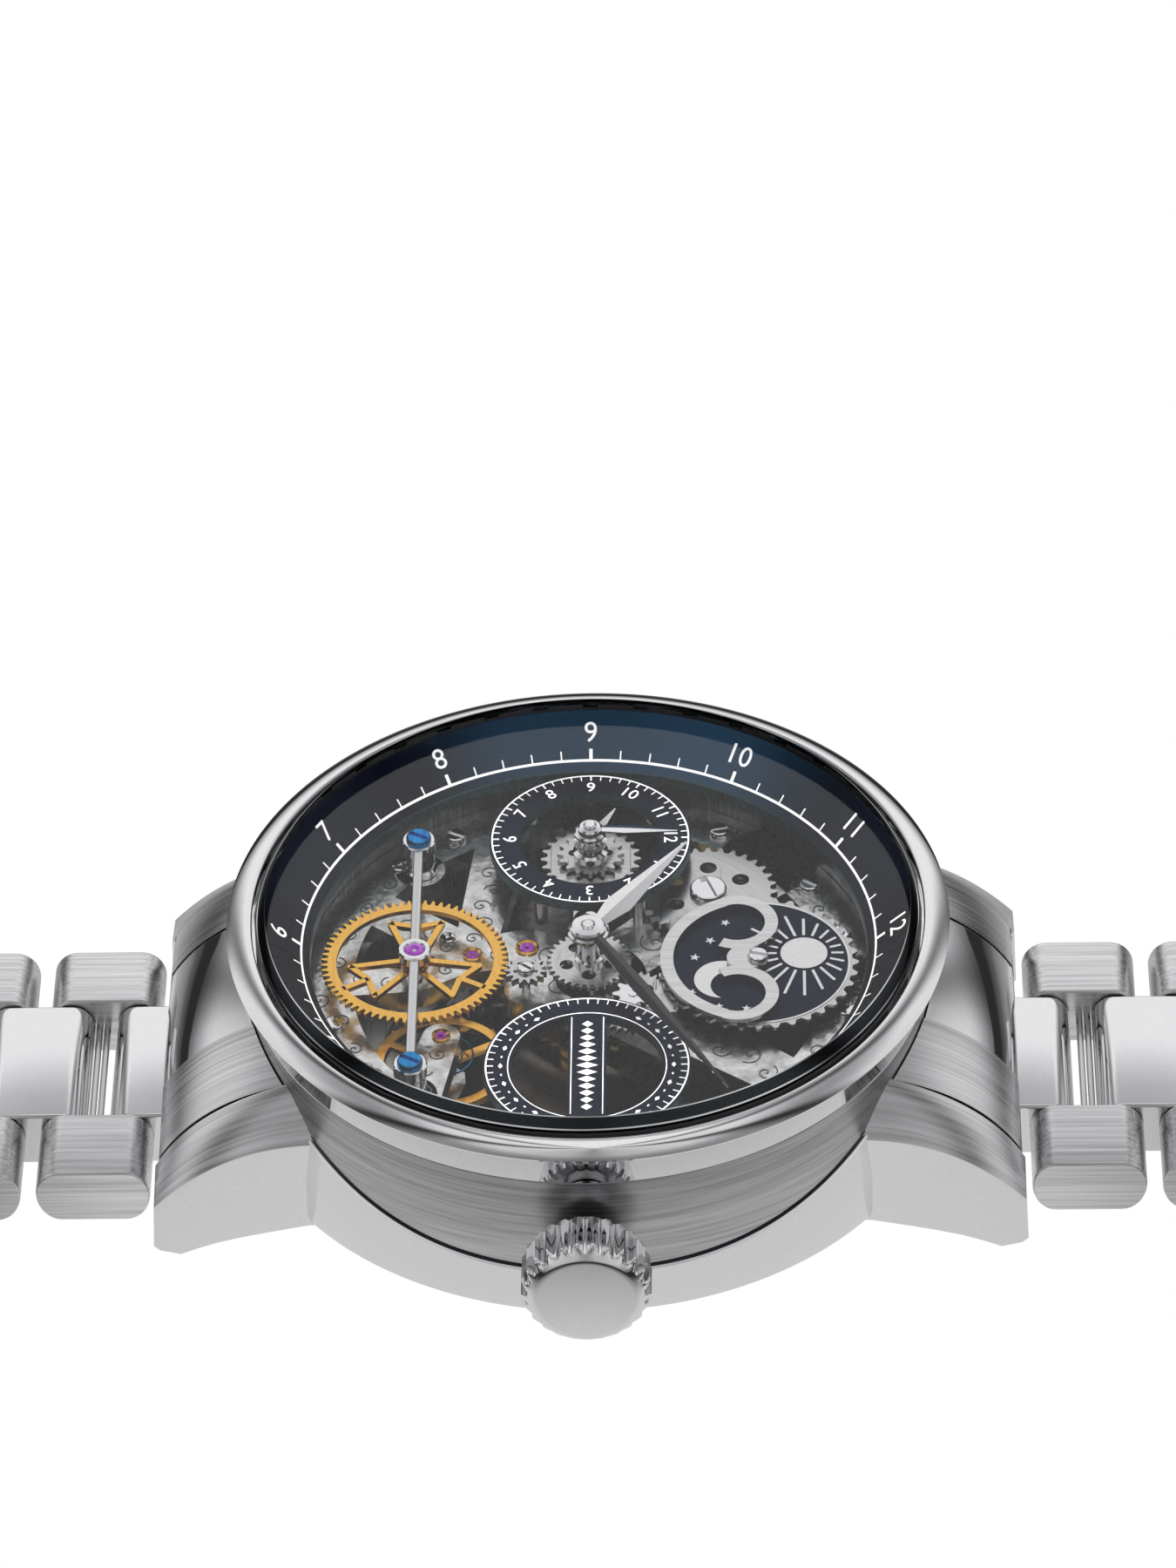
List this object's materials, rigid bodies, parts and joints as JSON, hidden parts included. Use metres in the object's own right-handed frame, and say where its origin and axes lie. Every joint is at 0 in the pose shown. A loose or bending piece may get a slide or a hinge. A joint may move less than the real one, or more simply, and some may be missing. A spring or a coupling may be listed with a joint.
{
  "type": "skeleton wristwatch",
  "caption": "Skeleton wristwatch with openworked automatic movement, dual-time ring, day-and-night disc, crown and folding-clasp steel bracelet laid flat.",
  "frame": {"origin": "On the axis of the central hands, in the plane of the case back's outer face", "axes": "+Z out of the dial, +Y towards 12 o'clock, +X towards 3 o'clock and the crown"},
  "size_m": [0.0468, 0.158, 0.0157],
  "materials": {
    "case_steel": "brushed with polished edges",
    "bezel_steel": "mirror polished",
    "crystal_glass": "clear flat crystal",
    "gasket_rubber": "black seal",
    "dial_navy": "navy metallic with white printing",
    "disc_navy": "navy with silver stars",
    "movement_steel": "rhodium plated, engraved",
    "polished_parts": "polished steel",
    "gilt": "gilt, polished",
    "brass_wheels": "brass",
    "blued_screw": "heat-blued steel",
    "ruby_jewel": "synthetic ruby",
    "bracelet_steel": "brushed outer rows, polished centre row",
    "clasp_steel": "brushed and polished"
  },
  "bodies": {
    "case": {"case_middle": "case_steel", "bezel": "bezel_steel", "crystal": "crystal_glass", "crystal_gasket": "gasket_rubber", "minute_flange": "dial_navy", "movement_holder": "movement_steel", "case_back": "case_steel", "case_back_glass": "crystal_glass", "main_plate": "movement_steel", "train_bridge": "movement_steel", "balance_cock": "movement_steel", "seconds_bridge": "polished_parts", "seconds_jewel": "ruby_jewel", "bridge_screw_3": "blued_screw", "bridge_screw_9": "blued_screw", "dual_time_ring": "dial_navy", "open_ring": "dial_navy", "sun_moon_frame": "polished_parts", "rotor_bearing": "brass_wheels", "end_link_12": "case_steel", "end_link_6": "case_steel", "spring_bar_12": "movement_steel", "spring_bar_6": "movement_steel"},
    "stem": {"winding_stem": "movement_steel"},
    "crown": {"crown": "bezel_steel"},
    "ratchet": {"ratchet_wheel": "polished_parts"},
    "barrel": {"barrel": "brass_wheels"},
    "minute": {"minute_hand": "polished_parts", "cannon_pinion": "polished_parts", "centre_wheel": "brass_wheels"},
    "hour": {"hour_hand": "polished_parts", "hour_wheel": "polished_parts"},
    "minute_wheel": {"minute_wheel": "polished_parts"},
    "sun_moon": {"sun_moon_disc": "disc_navy"},
    "dual_minute": {"dual_minute_wheel": "polished_parts", "dual_minute_hand": "polished_parts"},
    "dual_hour": {"dual_hour_wheel": "polished_parts", "dual_hour_hand": "polished_parts"},
    "third": {"third_wheel": "brass_wheels"},
    "seconds": {"seconds_wheel": "gilt"},
    "seconds_pinion": {"seconds_pinion": "polished_parts"},
    "escape": {"escape_wheel": "polished_parts"},
    "pallet": {"pallet_fork": "movement_steel"},
    "balance": {"balance_wheel": "gilt", "hairspring": "movement_steel"},
    "rotor": {"rotor": "polished_parts"},
    "link_12_1": {"link_12_1": "bracelet_steel"},
    "link_12_2": {"link_12_2": "bracelet_steel"},
    "link_12_3": {"link_12_3": "bracelet_steel"},
    "link_12_4": {"link_12_4": "bracelet_steel"},
    "link_12_5": {"link_12_5": "bracelet_steel"},
    "link_6_1": {"link_6_1": "bracelet_steel"},
    "link_6_2": {"link_6_2": "bracelet_steel"},
    "link_6_3": {"link_6_3": "bracelet_steel"},
    "link_6_4": {"link_6_4": "bracelet_steel"},
    "clasp_cover": {"clasp_cover": "clasp_steel"},
    "clasp_long_blade": {"clasp_long_blade": "clasp_steel"},
    "clasp_short_blade": {"clasp_short_blade": "clasp_steel"},
    "clasp_button_3": {"clasp_button_3": "clasp_steel"},
    "clasp_button_9": {"clasp_button_9": "clasp_steel"}
  },
  "joints": [
    {"name": "crown_pull", "type": "slide", "parent": "case", "child": "stem", "axis": [1, 0, 0], "range_m": [0, 0.001]},
    {"name": "crown_turn", "type": "hinge", "parent": "stem", "child": "crown", "pos_m": [0.024, 0, 0.0067], "axis": [1, 0, 0], "continuous": true},
    {"name": "ratchet_turn", "type": "hinge", "parent": "case", "child": "ratchet", "pos_m": [-0.0069, 0.007, 0.00905], "axis": [0, 0, -1], "continuous": true},
    {"name": "minute_turn", "type": "hinge", "parent": "case", "child": "minute", "pos_m": [0, 0, 0.01235], "axis": [0, 0, -1], "continuous": true},
    {"name": "hour_turn", "type": "hinge", "parent": "case", "child": "hour", "pos_m": [0, 0, 0.012], "axis": [0, 0, -1], "continuous": true},
    {"name": "minute_wheel_turn", "type": "hinge", "parent": "case", "child": "minute_wheel", "pos_m": [0.003, 0.0026, 0.0091], "axis": [0, 0, -1], "continuous": true},
    {"name": "sun_moon_turn", "type": "hinge", "parent": "case", "child": "sun_moon", "pos_m": [0, 0.0099, 0.0095], "axis": [0, 0, -1], "continuous": true},
    {"name": "dual_minute_turn", "type": "hinge", "parent": "case", "child": "dual_minute", "pos_m": [-0.0102, 0, 0.01145], "axis": [0, 0, -1], "continuous": true},
    {"name": "dual_hour_turn", "type": "hinge", "parent": "case", "child": "dual_hour", "pos_m": [-0.0102, 0, 0.0111], "axis": [0, 0, -1], "continuous": true},
    {"name": "barrel_turn", "type": "hinge", "parent": "case", "child": "barrel", "pos_m": [-0.0069, 0.007, 0.0062], "axis": [0, 0, -1], "continuous": true},
    {"name": "seconds_turn", "type": "hinge", "parent": "case", "child": "seconds", "pos_m": [0, -0.0102, 0.00985], "axis": [0, 0, -1], "continuous": true},
    {"name": "seconds_pinion_turn", "type": "hinge", "parent": "case", "child": "seconds_pinion", "pos_m": [0.0009, -0.0037, 0.0098], "axis": [0, 0, -1], "continuous": true},
    {"name": "third_turn", "type": "hinge", "parent": "case", "child": "third", "pos_m": [-0.0028, -0.0037, 0.0065], "axis": [0, 0, -1], "continuous": true},
    {"name": "escape_turn", "type": "hinge", "parent": "case", "child": "escape", "pos_m": [-0.0022, -0.0069, 0.0054], "axis": [0, 0, -1], "continuous": true},
    {"name": "pallet_rock", "type": "hinge", "parent": "case", "child": "pallet", "pos_m": [0.00062, -0.00757, 0.0054], "axis": [0, 0, 1], "range_deg": [-5, 5]},
    {"name": "balance_swing", "type": "hinge", "parent": "case", "child": "balance", "pos_m": [0.005, -0.0086, 0.0062], "axis": [0, 0, 1], "range_deg": [-270, 270]},
    {"name": "rotor_turn", "type": "hinge", "parent": "case", "child": "rotor", "pos_m": [0, 0, 0.0032], "axis": [0, 0, -1], "continuous": true},
    {"name": "curl_12_1", "type": "hinge", "parent": "case", "child": "link_12_1", "pos_m": [0, 0.0272, 0.0008], "axis": [-1, 0, 0], "range_deg": [0, 32]},
    {"name": "curl_12_2", "type": "hinge", "parent": "link_12_1", "child": "link_12_2", "pos_m": [0, 0.0348, 0.0008], "axis": [-1, 0, 0], "range_deg": [0, 32]},
    {"name": "curl_12_3", "type": "hinge", "parent": "link_12_2", "child": "link_12_3", "pos_m": [0, 0.0424, 0.0008], "axis": [-1, 0, 0], "range_deg": [0, 32]},
    {"name": "curl_12_4", "type": "hinge", "parent": "link_12_3", "child": "link_12_4", "pos_m": [0, 0.05, 0.0008], "axis": [-1, 0, 0], "range_deg": [0, 32]},
    {"name": "curl_12_5", "type": "hinge", "parent": "link_12_4", "child": "link_12_5", "pos_m": [0, 0.0576, 0.0008], "axis": [-1, 0, 0], "range_deg": [0, 32]},
    {"name": "curl_6_1", "type": "hinge", "parent": "case", "child": "link_6_1", "pos_m": [0, -0.0272, 0.0008], "axis": [1, 0, 0], "range_deg": [0, 32]},
    {"name": "curl_6_2", "type": "hinge", "parent": "link_6_1", "child": "link_6_2", "pos_m": [0, -0.0348, 0.0008], "axis": [1, 0, 0], "range_deg": [0, 32]},
    {"name": "curl_6_3", "type": "hinge", "parent": "link_6_2", "child": "link_6_3", "pos_m": [0, -0.0424, 0.0008], "axis": [1, 0, 0], "range_deg": [0, 32]},
    {"name": "curl_6_4", "type": "hinge", "parent": "link_6_3", "child": "link_6_4", "pos_m": [0, -0.05, 0.0008], "axis": [1, 0, 0], "range_deg": [0, 32]},
    {"name": "curl_6_clasp", "type": "hinge", "parent": "link_6_4", "child": "clasp_cover", "pos_m": [0, -0.0576, 0.0008], "axis": [1, 0, 0], "range_deg": [0, 32]},
    {"name": "clasp_long_fold", "type": "hinge", "parent": "clasp_cover", "child": "clasp_long_blade", "pos_m": [0, -0.0884, 0.0008], "axis": [-1, 0, 0], "range_deg": [0, 150]},
    {"name": "clasp_short_fold", "type": "hinge", "parent": "clasp_long_blade", "child": "clasp_short_blade", "pos_m": [0, -0.0656, 0.0008], "axis": [1, 0, 0], "range_deg": [0, 150]},
    {"name": "clasp_button_3_push", "type": "slide", "parent": "clasp_cover", "child": "clasp_button_3", "axis": [-1, 0, 0], "range_m": [0, 0.0008], "stiffness_N_per_m": 300},
    {"name": "clasp_button_9_push", "type": "slide", "parent": "clasp_cover", "child": "clasp_button_9", "axis": [1, 0, 0], "range_m": [0, 0.0008], "stiffness_N_per_m": 300}
  ],
  "couplings": [
    {"joint": "ratchet_turn", "follows": "crown_turn", "ratio": 0.375},
    {"joint": "hour_turn", "follows": "minute_turn", "ratio": 0.083333},
    {"joint": "minute_wheel_turn", "follows": "minute_turn", "ratio": -0.33333},
    {"joint": "sun_moon_turn", "follows": "minute_turn", "ratio": 0.041667},
    {"joint": "dual_minute_turn", "follows": "minute_turn", "ratio": 1},
    {"joint": "dual_hour_turn", "follows": "minute_turn", "ratio": 0.083333},
    {"joint": "barrel_turn", "follows": "minute_turn", "ratio": -0.14286},
    {"joint": "seconds_pinion_turn", "follows": "seconds_turn", "ratio": -4.6667},
    {"joint": "third_turn", "follows": "seconds_turn", "ratio": -0.13333},
    {"joint": "escape_turn", "follows": "seconds_turn", "ratio": -10},
    {"joint": "curl_12_2", "follows": "curl_12_1", "ratio": 1},
    {"joint": "curl_12_3", "follows": "curl_12_1", "ratio": 1},
    {"joint": "curl_12_4", "follows": "curl_12_1", "ratio": 1},
    {"joint": "curl_12_5", "follows": "curl_12_1", "ratio": 1},
    {"joint": "curl_6_2", "follows": "curl_6_1", "ratio": 1},
    {"joint": "curl_6_3", "follows": "curl_6_1", "ratio": 1},
    {"joint": "curl_6_4", "follows": "curl_6_1", "ratio": 1},
    {"joint": "curl_6_clasp", "follows": "curl_6_1", "ratio": 1}
  ]
}
